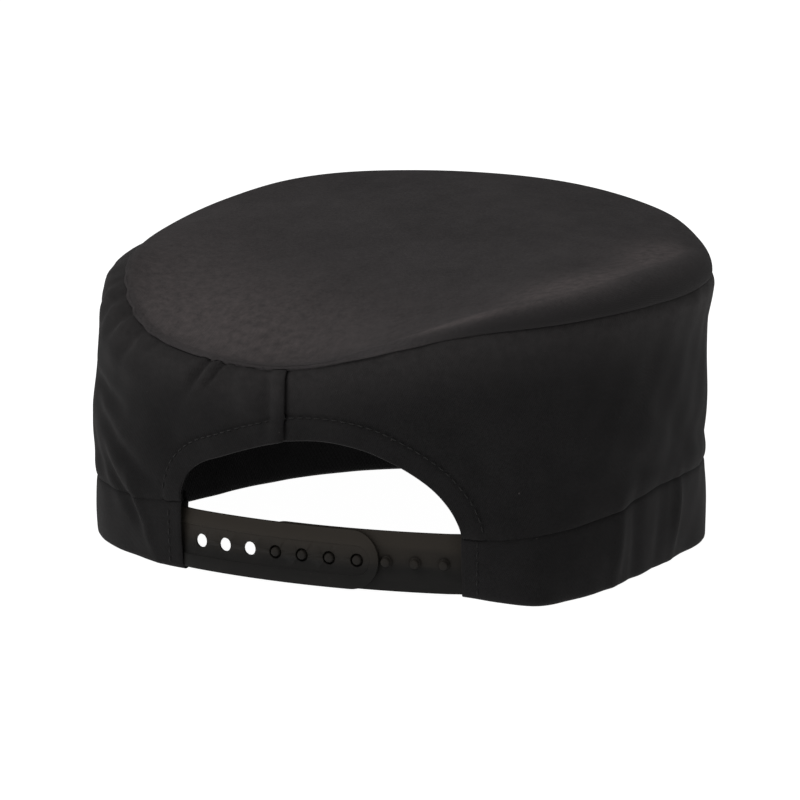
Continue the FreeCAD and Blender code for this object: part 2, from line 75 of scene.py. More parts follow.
HALF_LENGTH = corners_mm("headband")[1][1]
SWEATBAND_LOW, SWEATBAND_HIGH = heights_mm("sweatband")
LABEL_LOW, LABEL_HIGH = heights_mm("care_label")
STRAP_LOW, STRAP_HIGH = heights_mm("hole_strap")
STRAP_MIDDLE = (STRAP_LOW + STRAP_HIGH) / 2
HOLE_TIP = corners_mm("hole_strap")[1][0]
PEG_TIP = corners_mm("peg_strap")[0][0]

# Cut sizes, as in the CAD model.
BACK_RADIUS, SIDE_RADIUS, FRONT_RADIUS = 190.0, 58.0, 97.0
TWILL = 1.0
BAND_CLOTH = 0.6
BAND_DEPTH = 4.1
BAND_END = 49.5
TAIL_END = 66.0
FACING_WIDTH = 9.0
TAPE_WIDTH = 8.0
TOPSTITCH_INSET = 7.0


# ---------------- the outline

BACK_CENTRE = BACK_RADIUS - HALF_LENGTH
FRONT_CENTRE = HALF_LENGTH - FRONT_RADIUS


def side_centre():
    """Centre of the corner arcs, tangent inside the back arc and the front arc."""
    to_back, to_front = BACK_RADIUS - SIDE_RADIUS, FRONT_RADIUS - SIDE_RADIUS
    span = BACK_CENTRE - FRONT_CENTRE
    rise = (to_front**2 - to_back**2 + span**2) / (2 * span)
    return math.sqrt(to_front**2 - rise**2), FRONT_CENTRE + rise


SIDE_X, SIDE_Y = side_centre()
BACK_TURN = math.atan2(SIDE_X, BACK_CENTRE - SIDE_Y)
SIDE_TURN = math.atan2(SIDE_X, FRONT_CENTRE - SIDE_Y)
BACK_RUN = BACK_RADIUS * BACK_TURN
SIDE_RUN = SIDE_RADIUS * (SIDE_TURN - BACK_TURN)
FRONT_RUN = FRONT_RADIUS * (math.pi - SIDE_TURN)
HALF_ROUND = BACK_RUN + SIDE_RUN + FRONT_RUN
ROUND = 2 * HALF_ROUND


def wrapped(along):
    """The same place on the outline, from minus half a round to plus half a round."""
    return (np.asarray(along, float) + HALF_ROUND) % ROUND - HALF_ROUND


def place(along, up, out):
    """Points at a distance along the outline, a height, and a distance outside the outline."""
    along = wrapped(along)
    run = np.abs(along)
    on_back, on_side = run < BACK_RUN, run < BACK_RUN + SIDE_RUN
    turn = np.where(on_back, run / BACK_RADIUS,
                    np.where(on_side, BACK_TURN + (run - BACK_RUN) / SIDE_RADIUS,
                             SIDE_TURN + (run - BACK_RUN - SIDE_RUN) / FRONT_RADIUS))
    side = np.sign(along)
    radius = np.where(on_back, BACK_RADIUS, np.where(on_side, SIDE_RADIUS, FRONT_RADIUS)) + out
    centre_x = np.where(on_back | ~on_side, 0.0, SIDE_X)
    centre_y = np.where(on_back, BACK_CENTRE, np.where(on_side, SIDE_Y, FRONT_CENTRE))
    x = side * (centre_x + radius * np.sin(turn))
    y = centre_y - radius * np.cos(turn)
    return np.stack(np.broadcast_arrays(x, y, up), axis=-1)


# ---------------- smooth curves

def hermite(at, xs, ys):
    """A smooth curve through points with growing xs."""
    slopes = np.gradient(ys, xs)
    index = np.clip(np.searchsorted(xs, at, side="right") - 1, 0, len(xs) - 2)
    width = xs[index + 1] - xs[index]
    t = np.clip((at - xs[index]) / width, 0, 1)
    low, high = ys[index], ys[index + 1]
    return (low * (1 + 2 * t) * (1 - t)**2 + high * t**2 * (3 - 2 * t)
            + width * (slopes[index] * t * (1 - t)**2 - slopes[index + 1] * t**2 * (1 - t)))


def round_curve(*anchors):
    """A smooth function of the distance along the outline, through (along, value) pairs."""
    xs, ys = np.array(sorted(anchors), float).T
    xs = np.concatenate([xs[-3:] - ROUND, xs, xs[:3] + ROUND])
    ys = np.concatenate([ys[-3:], ys, ys[:3]])
    return lambda along: hermite(wrapped(along), xs, ys)


def distances(points, power=1.0):
    """Each point's distance along a polyline from its first point, with each step to a power."""
    steps = np.linalg.norm(np.diff(points, axis=0), axis=1)**power
    return np.concatenate([[0], np.cumsum(steps)])


def resampled(points, count):
    """A polyline again with evenly spaced points."""
    points = np.asarray(points, float)
    runs = distances(points)
    at = np.linspace(0, runs[-1], count)
    return np.stack([np.interp(at, runs, column) for column in points.T], axis=-1)


def smooth_path(points, count):
    """An evenly spaced smooth curve through a few points."""
    points = np.asarray(points, float)
    runs = distances(points, 0.5)
    at = np.linspace(0, runs[-1], 40 * len(points))
    return resampled(np.stack([hermite(at, runs, column) for column in points.T], axis=-1), count)


def bump(at, middle, width):
    """1 at the middle, falling smoothly to 0 about two widths away."""
    return np.exp(-((at - middle) / width)**2)


def ease(at, start, end):
    """0 before start, 1 after end, smooth between."""
    t = np.clip((at - start) / (end - start), 0, 1)
    return t * t * (3 - 2 * t)


# ---------------- shape of the worn cap

# The hem: how far out it stands, and how far it lifts off the table.
hem_out = round_curve((-293, 4), (-254, 5), (-232, 1), (-212, -2.2), (-193, -5.2), (-168, -7.2),
                      (-142, -2), (-120, 5), (-105, 5.2), (-92, 2.4), (-75, -0.4), (-55, -0.6),
                      (0, -2), (51, -2), (61, 4), (71, 10), (82, 6), (98, 1), (120, -2.5),
                      (148, -2.5), (173, 2.6), (200, 3.6), (245, 3))
hem_up = round_curve((-293, 0), (-180, 0), (-60, 0), (0, 0), (78, 0), (95, 0.5), (125, 1),
                     (155, 0.5), (180, 0), (240, 0))

# Band seam: height, and the wall's place just above it.
band_up = round_curve((-293, 27), (-180, 23), (-120, 21.8), (-90, 21.2), (-62, 21.6), (-50, 23),
                      (0, 22), (50, 20), (62, 20), (76, 21.8), (92, 24), (108, 26.6), (122, 29),
                      (140, 30), (175, 28.5), (230, 28))
band_out = round_curve((-293, 2.5), (-200, 0), (-160, 0), (-120, 5.6), (-105, 5.4), (-85, 3),
                       (-60, 0.9), (0, 0), (52, 0), (71, 3), (95, 1), (130, 0), (173, 2.4), (215, 3))

# The wall's place in three belts from low to high, then the crown seam.
low_out = round_curve((-293, 3), (-200, 2), (-150, 4), (-105, 5.8), (-80, 4), (-55, 1), (0, 1),
                      (55, 1.2), (75, 2.6), (105, 2), (140, 2), (173, 3.2), (215, 3.5))
high_out = round_curve((-293, 3), (-200, 3), (-150, 4.2), (-125, 3.6), (-105, 3.4), (-80, 3.3),
                       (-50, 2), (-25, 1.2), (0, 1), (31, 1), (79, 1.5), (140, 2), (173, 3.2),
                       (215, 3.5))
shoulder_out = round_curve((-293, 1.5), (-200, 1), (-160, 1.8), (-130, 2), (-105, 1.6), (-80, 1.8),
                           (-50, 1.6), (-20, 0.8), (0, 0.6), (31, 0.8), (79, 1.8), (130, 3.2),
                           (173, 5), (215, 2.5))
seam_out = round_curve((-293, -1), (-240, -1.5), (-190, -3), (-155, -5.5), (-125, -6.8), (-105, -6),
                       (-92, -4.6), (-78, -3), (-62, -1.5), (-45, -0.5), (0, 0), (31, 0.6), (79, 1.4),
                       (130, 2.6), (173, 4), (205, 1.5))
seam_up = round_curve((-293, 103.8), (-258, 104), (-208, 102.5), (-183, 99.5), (-150, 96), (-125, 94),
                      (-105, 91.5), (-94, 88.5), (-84, 83.5), (-72, 78), (-60, 74.6), (-48, 72.2),
                      (-33, 70.8), (-12, 70.4), (0, 72), (16, 76), (31, 80), (43, 83.2), (58, 86.2),
                      (79, 88.5), (105, 90.3), (150, 90.7), (173, 91.4), (190, 94), (212, 98),
                      (235, 100.5), (262, 102.6))

# The wall's belts: share of the height between its two seams, and how far out it stands there.
WALL_BELTS = ((0.0, band_out), (0.3, low_out), (0.7, high_out), (0.92, shoulder_out), (1.0, seam_out))

# Crown's folded edge above its seam: rise and inset.
edge_rise = round_curve((-293, 4.5), (-230, 4.5), (-183, 3.2), (-150, 2.2), (-105, 1.8), (-50, 1.8),
                        (-12, 1.6), (10, 2), (26, 2.9), (43, 4.2), (58, 5.7), (80, 7), (100, 8),
                        (125, 9.3), (150, 9.3), (180, 7.8), (224, 5.2))
edge_inset = round_curve((-293, 4), (-183, 3.5), (-105, 2.5), (0, 3), (30, 5), (60, 7.5), (130, 8),
                         (180, 7), (224, 5))

# Rear arch as (along, up), from the right foot over the top to the left foot.
ARCH = [(49.8, 20), (48.6, 24.5), (45.5, 30), (39, 36.8), (30, 42.5), (20, 46.8), (8, 49),
        (-6, 48.6), (-19, 45.2), (-32, 40.6), (-41, 37.2), (-46.6, 33), (-49, 27.5),
        (-49.6, 22.8)]

# The wall's two ends lap at the centre back: the left end lies on top.
LAP_EDGE = -8.6
LAP = 6.5

# Gathers under the crown seam: along, lean on the way down, width, depth, length.
GATHERS = [(-152, 4, 7, 0.3, 18), (-124, -2, 7, 0.2, 16), (-104, -6, 3, 0.2, 12),
           (-96, -9, 2, 1.0, 15), (-87, -9, 1.8, 1.5, 15), (-78, -8, 1.6, 1.4, 12),
           (-68.5, -8, 2.2, 1.2, 14), (-59, -4, 2.2, 0.4, 9), (-37.5, -9, 1.7, 2.4, 13),
           (-31.5, -8, 1.3, 1.8, 10), (-25, -3, 1.4, 0.5, 6), (-19, -2, 1.2, 0.3, 6),
           (24, 3, 4, 0.4, 10), (51, 4, 4.5, 0.4, 12), (90, 1, 4.5, 0.3, 10), (118, 2, 4, 0.3, 9),
           (152, 0, 5, 0.3, 9), (192, 0, 5, 0.5, 10), (226, 0, 5.5, 0.4, 12), (262, 0, 4.6, 0.5, 10),
           (289, 0, 5.5, 0.4, 10), (-264, 0, 4.4, 0.5, 10), (-231, 0, 5.5, 0.5, 12),
           (-203, 0, 4.4, 0.5, 12), (-176, -2, 4.8, 0.5, 14)]

# Creases in the wall and band: along and up where one starts, along and up where it ends, width and
# depth, which is below 0 for a ridge.
CREASES = [(-15, 69, -14.5, 52, 1.8, 1.3), (-24, 66, -20, 54, 4.2, -1.4),
           (-102, 57, -76, 50, 3.2, 2.2), (-92, 70, -64, 62, 5.5, -1.6),
           (-96, 49, -60, 26, 3.2, 1.7), (-88, 33, -66, 12, 2.4, 1.7), (-72, 28, -61, 3, 2, -1.2),
           (-104, 40, -84, 18, 3.6, 0.9), (-58, 52, -50, 36, 4.5, 0.7), (-80, 62, -62, 60, 6, 0.6),
           (17, 58, 44, 66, 5, 0.9), (52, 52, 60, 38, 5.5, 0.8), (76, 66, 84, 38, 7, 0.9),
           (98, 46, 124, 33, 4, 1.4), (118, 62, 146, 38, 5.5, 1.2), (135, 50, 168, 36, 4.5, 0.9),
           (104, 27, 101, 2, 2.6, -1.5), (112, 30, 113, 2, 3.6, 1.5), (139, 32, 141, 3, 2.8, -1.5),
           (128, 31, 129, 4, 3.4, 0.9), (66, 18, 67, 0, 6, 0.6), (176, 40, 200, 33, 5, 1),
           (206, 60, 238, 40, 8, 1.2), (250, 36, 284, 32, 5, 0.8), (-286, 62, -252, 42, 9, 1.3),
           (-232, 36, -196, 31, 5, 0.9), (-184, 70, -150, 40, 9, 1.3),
           (-140, 36, -118, 30, 4.5, 0.9)]


def creases(along, up):
    """How far the creases push the cloth inwards."""
    along = wrapped(along)
    pushed = np.zeros(np.broadcast(along, up).shape)
    for along_1, up_1, along_2, up_2, width, depth in CREASES:
        run, rise = along_2 - along_1, up_2 - up_1
        share = np.clip(((along - along_1) * run + (up - up_1) * rise) / (run**2 + rise**2), 0, 1)
        away = np.hypot(along - along_1 - share * run, up - up_1 - share * rise)
        pushed += depth * np.exp(-(away / width)**2) * (0.35 + 0.65 * np.sin(math.pi * share))
    return pushed


def gathers(along, below_seam):
    """How far the gathers push the cloth inwards at a distance below the crown seam."""
    along = wrapped(along)
    pushed = np.zeros(np.broadcast(along, below_seam).shape)
    for start, lean, width, depth, length in GATHERS:
        share = np.clip(below_seam / length, 0, 1.5)
        pleat = bump(along, start + lean * share, width * (0.7 + 0.8 * share))
        ridge = bump(along, start + lean * share + 2.0 * width, width) * 0.5
        pushed += depth * (pleat - ridge) * (1 - ease(share, 0.25, 1.4))
    return pushed


def unevenness(along, up):
    """Soft, irregular swell of worn cloth, within a millimetre."""
    along = wrapped(along)
    turn = 2 * math.pi * along / ROUND
    waves = ((0.28, 7, 0.05, 0.6), (0.22, 13, -0.09, 2.1), (0.16, 23, 0.13, 4.0),
             (0.10, 41, -0.21, 0.0), (0.12, 5, 0.19, 0.0))
    return sum(size * np.sin(count * turn + slant * up + start) for size, count, slant, start in waves)


def wall_out(along, up):
    """The wall cloth's outer face, as a distance outside the outline."""
    low, high = band_up(along), seam_up(along)
    above_band, below_seam = up - low, high - up
    share = np.clip(above_band / (high - low), 0, 1)
    belts = [height for height, _ in WALL_BELTS]
    values = [curve(along) for _, curve in WALL_BELTS]
    slopes = []
    for k in range(len(belts)):
        before, after = max(k - 1, 0), min(k + 1, len(belts) - 1)
        slopes.append((values[after] - values[before]) / (belts[after] - belts[before]))
    out = np.zeros(np.broadcast(share, low).shape)
    for k in range(len(belts) - 1):
        width = belts[k + 1] - belts[k]
        t = np.clip((share - belts[k]) / width, 0, 1)
        step = (values[k] + (values[k + 1] - values[k]) * t * t * (3 - 2 * t)
                + width * t * (1 - t) * (slopes[k] * (1 - t) - slopes[k + 1] * t))
        out = np.where((share >= belts[k]) & (share <= belts[k + 1]), step, out)
    over_band = 0.4 * bump(above_band, 4.0, 3.5) - 0.4 * bump(above_band, 0.0, 0.8)
    tuck = -0.55 * bump(below_seam, 0.0, 0.8) + 0.25 * bump(below_seam, 3.0, 2.2)
    pushed = creases(along, up) + gathers(along, below_seam)
    return out + over_band + tuck - pushed + unevenness(along, up)


def band_face_out(along, up):
    """The headband's outer face, as a distance outside the outline."""
    low, high = hem_up(along), band_up(along)
    share = np.clip((up - low) / (high - low), 0, 1)
    swell = 0.5 * np.sin(math.pi * share)
    tuck = -0.35 * bump(high - up, 0.0, 0.8)
    out = hem_out(along) + (band_out(along) - hem_out(along)) * ease(share, -0.1, 1.1)
    return out + swell + tuck - creases(along, up) + 0.7 * unevenness(along, up)


# ---------------- meshes

def linked(name, data):
    """A new object in the scene."""
    made = bpy.data.objects.new(name, data)
    bpy.context.scene.collection.objects.link(made)
    return made


def new_piece(name, points, faces, weave=None):
    """A mesh object from points in millimetres; weave holds each point's place on the flat cloth."""
    mesh = bpy.data.meshes.new(name)
    mesh.from_pydata((np.asarray(points, float) * MM).tolist(), [], faces)
    if weave is not None:
        attribute = mesh.attributes.new("weave", "FLOAT_VECTOR", "POINT")
        attribute.data.foreach_set("vector", np.asarray(weave, np.float32).ravel())
    editable = bmesh.new()
    editable.from_mesh(mesh)
    bmesh.ops.recalc_face_normals(editable, faces=editable.faces)
    editable.to_mesh(mesh)
    editable.free()
    mesh.shade_smooth()
    return linked(name, mesh)


def store(piece, name, values):
    """Keeps one number per point on a piece, for its material."""
    numbers = np.asarray(values, np.float32).ravel()
    piece.data.attributes.new(name, "FLOAT", "POINT").data.foreach_set("value", numbers)


def unit(vectors):
    return vectors / np.maximum(np.linalg.norm(vectors, axis=-1, keepdims=True), 1e-9)


def flat_lengths(grid):
    """Each grid point's place on the cloth laid flat: its middle row's length, and the mean height."""
    across = distances(grid[:, grid.shape[1] // 2])
    steps = np.linalg.norm(np.diff(grid, axis=1), axis=2).mean(axis=0)
    upward = np.concatenate([[0], np.cumsum(steps)])
    zero = np.zeros(grid.shape[:2])
    return np.stack([zero + across[:, None], zero + upward[None, :], zero], axis=-1)


def layer_faces(columns, rows, closed):
    """Faces of a grid's outer layer and of its inner one, whose points are numbered after it."""
    faces, layer = [], columns * rows
    for i in range(columns if closed else columns - 1):
        here, there = i * rows, (i + 1) % columns * rows
        for j in range(rows - 1):
            quad = [here + j, there + j, there + j + 1, here + j + 1]
            faces += [quad, [v + layer for v in reversed(quad)]]
    return faces


def thick_sheet(name, grid, thickness, weave=None):
    """A sheet of cloth with rounded edges. grid holds its outer face, column by column from below."""
    columns, rows = grid.shape[:2]
    sideways = unit(np.gradient(grid, axis=0))
    upwards = unit(np.gradient(grid, axis=1))
    normals = unit(np.cross(sideways, upwards))
    inner = grid - normals * thickness
    loop = ([(i, 0) for i in range(columns)] + [(columns - 1, j) for j in range(1, rows)]
            + [(i, rows - 1) for i in range(columns - 2, -1, -1)]
            + [(0, j) for j in range(rows - 2, 0, -1)])
    rim = []
    for i, j in loop:
        off_edge = np.zeros(3)
        if j in (0, rows - 1):
            off_edge += upwards[i, j] * (-1 if j == 0 else 1)
        if i in (0, columns - 1):
            off_edge += sideways[i, j] * (-1 if i == 0 else 1)
        rim.append((grid[i, j] + inner[i, j]) / 2 + unit(off_edge) * thickness * 0.45)
    flat = flat_lengths(grid) if weave is None else weave
    points = np.concatenate([grid.reshape(-1, 3), inner.reshape(-1, 3), rim])
    coordinates = np.concatenate([flat.reshape(-1, 3), flat.reshape(-1, 3),
                                  np.array([flat[i, j] for i, j in loop])])
    layer, rim_start = columns * rows, 2 * columns * rows
    faces = layer_faces(columns, rows, closed=False)
    for k, (i, j) in enumerate(loop):
        following = (k + 1) % len(loop)
        next_i, next_j = loop[following]
        here, there = i * rows + j, next_i * rows + next_j
        faces.append([there, here, rim_start + k, rim_start + following])
        faces.append([rim_start + following, rim_start + k, here + layer, there + layer])
    return new_piece(name, points, faces, coordinates)


def belt(name, first, last, step, lows, highs, out, rows, thickness):
    """A strip round the cap between two distances along the outline and between two heights."""
    along = np.linspace(first, last, int((last - first) / step) + 1)[:, None]
    share = np.linspace(0, 1, rows)[None, :]
    up = lows(along) + (highs(along) - lows(along)) * share
    return thick_sheet(name, place(along, up, out(along, up)), thickness)


# ---------------- cloth pieces

def wall_lower_edge():
    """The wall's lower edge as (along, up): the arch's right side, the band seam, the arch's left."""
    arch = smooth_path(ARCH, 400)
    top = np.argmin(np.abs(arch[:, 0] - (LAP_EDGE - LAP)))
    right = arch[:top + 1][::-1]
    left = arch[np.argmin(np.abs(arch[:, 0] - LAP_EDGE)):][::-1].copy()
    left[:, 0] += ROUND
    seam_along = np.linspace(right[-1, 0], left[0, 0], 360)
    seam = np.stack([seam_along, band_up(seam_along)], axis=-1)
    return right, seam, left


def arch_distance(along, up):
    """Distance from the arch's edge, measured on the cloth."""
    arch = smooth_path(ARCH, 160)
    along = wrapped(along)
    away = np.full(along.shape, np.inf)
    for point in arch:
        away = np.minimum(away, np.hypot(along - point[0], up - point[1]))
    return away


def make_wall():
    parts = [resampled(part, int(distances(part)[-1] / 1.5) + 2) for part in wall_lower_edge()]
    lower = np.concatenate([parts[0], parts[1][1:], parts[2][1:]])
    runs = distances(lower)
    upper_along = lower[0, 0] + (lower[-1, 0] - lower[0, 0]) * runs / runs[-1]
    upper = np.stack([upper_along, seam_up(upper_along)], axis=-1)
    share = np.concatenate([np.linspace(0, 0.16, 13)[:-1], np.linspace(0.16, 0.86, 31)[:-1],
                            np.linspace(0.86, 1, 13)])[None, :, None]
    flat = lower[:, None] * (1 - share) + upper[:, None] * share
    along, up = flat[..., 0], flat[..., 1]
    hem = arch_distance(along, up)
    relief = 0.55 * (1 - ease(hem, TOPSTITCH_INSET - 1, TOPSTITCH_INSET + 1.2))
    relief -= 0.5 * bump(hem, TOPSTITCH_INSET + 0.4, 0.8)
    from_start, from_end = along - lower[0, 0], lower[-1, 0] - along
    under = -1.4 * (1 - ease(from_start, LAP - 1.0, LAP + 2.5))
    over = 0.9 * (1 - ease(from_end, LAP - 3.0, LAP)) + 0.5 * bump(from_end, 1.6, 1.4)
    grid = place(along, up, wall_out(along, up) + relief + under + over)
    weave = np.stack([along, up, np.zeros_like(up)], axis=-1)
    wall = thick_sheet("wall_cloth", grid, TWILL, weave)
    spots = np.empty(3 * len(wall.data.vertices), np.float32)
    wall.data.attributes["weave"].data.foreach_get("vector", spots)
    spot_along, spot_up, _ = spots.reshape(-1, 3).T
    # The wall is made paler towards the crown seam.
    store(wall, "pale_tone", 0.75 * bump(seam_up(spot_along) - spot_up, 0.0, 13.0))
    return wall


CROWN_COLUMNS = 384
FOLD_RINGS = 21
CROWN_CENTRE = np.array([0.0, 2.0])


def crown_rings(along):
    """Rings of the crown's outer face: tucked into the seam, over the folded edge, to the middle."""
    out, up = seam_out(along), seam_up(along)
    rise, inset = edge_rise(along), edge_inset(along)
    ripple = -0.4 * gathers(along, 2.0 + 0 * along)
    profile = [(-1.6, -0.6), (0.3, 0.4), (0.25 - 0.04 * inset, 0.42 * rise),
               (0.1 - 0.3 * inset, 0.76 * rise), (-0.68 * inset, 0.95 * rise), (-1.12 * inset, rise)]
    knots = np.stack([np.stack([out + across, up + height], axis=-1) for across, height in profile],
                     axis=1)
    steps = np.linspace(0, len(profile) - 1, FOLD_RINGS)
    numbers = np.arange(len(profile), dtype=float)
    fold = np.array([[hermite(steps, numbers, knots[i, :, axis]) for axis in (0, 1)]
                     for i in range(len(along))])
    rings = []
    for k, step in enumerate(steps):
        rings.append(place(along, fold[:, 1, k], fold[:, 0, k] + ripple * bump(step, 1.0, 1.6)))
    edge = rings[-1]
    spectrum = np.fft.rfft(edge[:, 2])
    orders = np.arange(len(spectrum))
    for share in 1 - np.concatenate([np.linspace(0.008, 0.1, 8), np.linspace(0.14, 0.97, 26)]):
        height = np.fft.irfft(spectrum * share**np.minimum(orders**1.35, 200), len(along))
        puff = 3.0 * (1 - share**3)
        waves = 0.5 + 0.5 * np.sin(10 * math.pi * along / ROUND + 0.8)
        sag = -0.8 * bump(share, 0.78, 0.14) * waves
        flat = CROWN_CENTRE + (edge[:, :2] - CROWN_CENTRE) * share
        rings.append(np.column_stack([flat, height + puff + sag]))
    return np.stack(rings, axis=1)


def make_crown():
    along = np.linspace(-HALF_ROUND, HALF_ROUND, CROWN_COLUMNS, endpoint=False)
    outer = crown_rings(along)
    columns, rows = outer.shape[:2]
    sideways = unit(np.roll(outer, -1, axis=0) - np.roll(outer, 1, axis=0))
    inwards = unit(np.gradient(outer, axis=1))
    inner = outer - unit(np.cross(sideways, inwards)) * TWILL
    tops = [layer[:, -1].mean(axis=0) for layer in (outer, inner)]
    points = np.concatenate([outer.reshape(-1, 3), inner.reshape(-1, 3), tops])
    faces, layer = layer_faces(columns, rows, closed=True), columns * rows
    for i in range(columns):
        here, there = i * rows, (i + 1) % columns * rows
        last_here, last_there = here + rows - 1, there + rows - 1
        faces.append([last_here, last_there, 2 * layer])
        faces.append([last_there + layer, last_here + layer, 2 * layer + 1])
        faces.append([there, here, here + layer, there + layer])
    flat = outer.copy()
    for row in range(FOLD_RINGS - 2, -1, -1):
        step = np.linalg.norm(outer[:, row] - outer[:, row + 1], axis=1, keepdims=True)
        flat[:, row] = flat[:, row + 1] + unit(flat[:, FOLD_RINGS - 1] * (1, 1, 0)) * step
    flat[..., 2] = 0
    weave = np.concatenate([flat.reshape(-1, 3), flat.reshape(-1, 3), tops])
    crown = new_piece("crown_cloth", points, faces, weave)
    ring = np.arange(rows)[None, :]
    # Stores the crown's paler patches, partly rubbed wear and partly painted highlight, and its
    # painted shade on the right turn-down.
    for name, values in (("pale_tone", crown_wear_and_painted_highlight(along[:, None], ring)),
                         ("shade", painted_fold_shade(along[:, None], ring))):
        store(crown, name, np.concatenate([values.ravel(), values.ravel(), np.zeros(len(tops))]))
    return crown


def painted_fold_shade(along, ring):
    """Painted shade: 1 where the crown turns down to its seam on the right, which is darkened there,
    and 0 on top.
    """
    return (1 - ease(ring, 5, 17)) * ease(along, 20, 60) * (1 - ease(along, 190, 230))


def crown_wear_and_painted_highlight(along, ring):
    """How far the crown is made paler: patches on and inside the right fold, partly rubbed wear and
    partly painted highlight, and a painted highlight low at the back.
    """
    on_fold, inside = bump(ring, 17.0, 3.5), bump(ring, 25.0, 5.5)
    return np.clip(on_fold * (1.3 * bump(along, 50, 15) + 0.35 * bump(along, 84, 20))
                   + inside * (1.6 * bump(along, 96, 26) + 1.5 * bump(along, 150, 22))
                   + 0.8 * bump(ring, 28, 11) * bump(along, -50, 80), 0, 1)


def make_band():
    """Headband: one strip folded up from the hem, inner leg first, then the outer face."""
    last = ROUND - BAND_END
    along = np.linspace(BAND_END, last, int((last - BAND_END) / 1.5))[:, None]
    low, high = np.maximum(hem_up(along), 0.0), band_up(along)  # the hem stays on the table
    radius = BAND_DEPTH / 2
    inner_up = low + radius + (high - 1.0 - low - radius) * np.linspace(1, 0, 9)[None, :-1]
    turn = np.linspace(-math.pi / 2, math.pi / 2, 9)[None, :]
    fold_up = low + radius - radius * np.cos(turn)
    outer_up = low + radius + (high - low - radius) * np.linspace(0, 1, 19)[None, 1:]
    inner_out = band_face_out(along, inner_up) - BAND_DEPTH
    fold_out = band_face_out(along, low + radius) - radius + radius * np.sin(turn)
    outer_out = band_face_out(along, outer_up)
    up = np.concatenate([inner_up, fold_up, outer_up], axis=1)
    out = np.concatenate([inner_out, fold_out, outer_out], axis=1)
    return thick_sheet("band_cloth", place(along, up, out), BAND_CLOTH)


def make_felt():
    """Felt between the headband's legs, clear of the strap's tails."""
    first = TAIL_END + 4
    return belt("felt_strip", first, ROUND - first, 2.5, lambda a: hem_up(a) + 2.2,
                lambda a: band_up(a) - 2.0,
                lambda a, up: band_face_out(a, up) - BAND_CLOTH - 0.25, 7, 2.2)


def inside_band(along, up, gap):
    """A face inside the headband's inner leg, as a distance outside the outline."""
    return band_face_out(along, np.minimum(up, band_up(along) - 3)) - BAND_DEPTH - gap


def make_sweatband():
    first = BAND_END + 2.0
    return belt("sweatband_cloth", first, ROUND - first, 1.8, lambda a: SWEATBAND_LOW + hem_up(a),
                lambda a: np.maximum(band_up(a) + 2, SWEATBAND_HIGH),
                lambda a, up: inside_band(a, up, 0.95), 14, 0.8)


def make_label():
    """Blank care label on the sweatband, at the wearer's right, where the front arc crosses y = 0."""
    abreast = math.acos(FRONT_CENTRE / FRONT_RADIUS)
    middle = BACK_RUN + SIDE_RUN + FRONT_RADIUS * (abreast - SIDE_TURN)
    low, high = corners_mm("care_label")
    half = (high[1] - low[1]) / 2
    return belt("blank_label", middle - half, middle + half, 1.5, lambda a: LABEL_LOW + hem_up(a),
                lambda a: LABEL_HIGH + hem_up(a),
                lambda a, up: inside_band(a, up, 1.95) - 0.25 * np.cos((a - middle) / 3.0), 12, 0.3)


def make_seam_tape():
    """Tape over the crown seam, round the inside of the wall."""
    return belt("seam_tape_cloth", LAP_EDGE, LAP_EDGE + ROUND - 1.0, 2.0,
                lambda a: seam_up(a) - TAPE_WIDTH - 1.0, lambda a: seam_up(a) - 1.8,
                lambda a, up: wall_out(a, up) - TWILL - 0.9, 8, 0.6)


def arch_edge(count):
    """Points on the arch's edge as (along, up), and the direction away from the opening at each."""
    arch = smooth_path(ARCH, count)
    along_edge = unit(np.gradient(arch, axis=0))
    return arch, np.stack([along_edge[:, 1], -along_edge[:, 0]], axis=-1)


def make_facing():
    """Facing turned inside along the arch."""
    arch, outward = arch_edge(110)
    width = np.linspace(0.4, FACING_WIDTH, 9)
    flat = (arch[:, None] + outward[:, None] * width[None, :, None])[::-1]
    along, up = flat[..., 0], np.maximum(flat[..., 1], STRAP_HIGH + 0.4)
    return thick_sheet("facing_cloth", place(along, up, wall_out(along, up) - TWILL - 0.25), 0.6)


# ---------------- thread

STITCH_LENGTH, STITCH_PITCH = 2.1, 2.9
TACK_ALONG = 54.5
TACK_STITCHES, TACK_LENGTH, TACK_PITCH = 6, 2.2, 3.1


def tube_faces(rings, sides):
    """Faces of a closed tube whose points are given ring by ring."""
    faces = []
    for k in range(rings - 1):
        for side in range(sides):
            following = (side + 1) % sides
            faces.append([k * sides + side, k * sides + following,
                          (k + 1) * sides + following, (k + 1) * sides + side])
    faces.append(list(range(sides))[::-1])
    faces.append([(rings - 1) * sides + side for side in range(sides)])
    return faces


def joined(shapes):
    """Points and faces of several shapes as one."""
    points, faces = [], []
    for shape_points, shape_faces in shapes:
        faces += [[v + len(points) for v in face] for face in shape_faces]
        points += shape_points
    return points, faces


def stitch(start, end, outward, radius=0.24, bow=0.16):
    """Points and faces of one stitch: a short thread bowed outwards, with tapered ends."""
    sides, rings = 6, 6
    start, end, lift = np.array(start), np.array(end), np.array(outward) * bow
    axis = unit(end - start)
    upright = unit(lift - axis * np.dot(lift, axis))
    other = np.cross(axis, upright)
    points = []
    for k in range(rings):
        share = k / (rings - 1)
        thick = radius * (0.35 + 0.65 * math.sin(math.pi * share)**0.5)
        middle = start + (end - start) * share + lift * math.sin(math.pi * share)
        for side in range(sides):
            turn = 2 * math.pi * side / sides
            points.append(middle + thick * (math.cos(turn) * upright + math.sin(turn) * other))
    return points, tube_faces(rings, sides)


def on_surface(face, along, up, lift):
    """A point on a cloth face and the outward direction there."""
    here = place(along, up, face(along, up) + lift)
    return here, unit(place(along, up, 1.0) - place(along, up, 0.0))


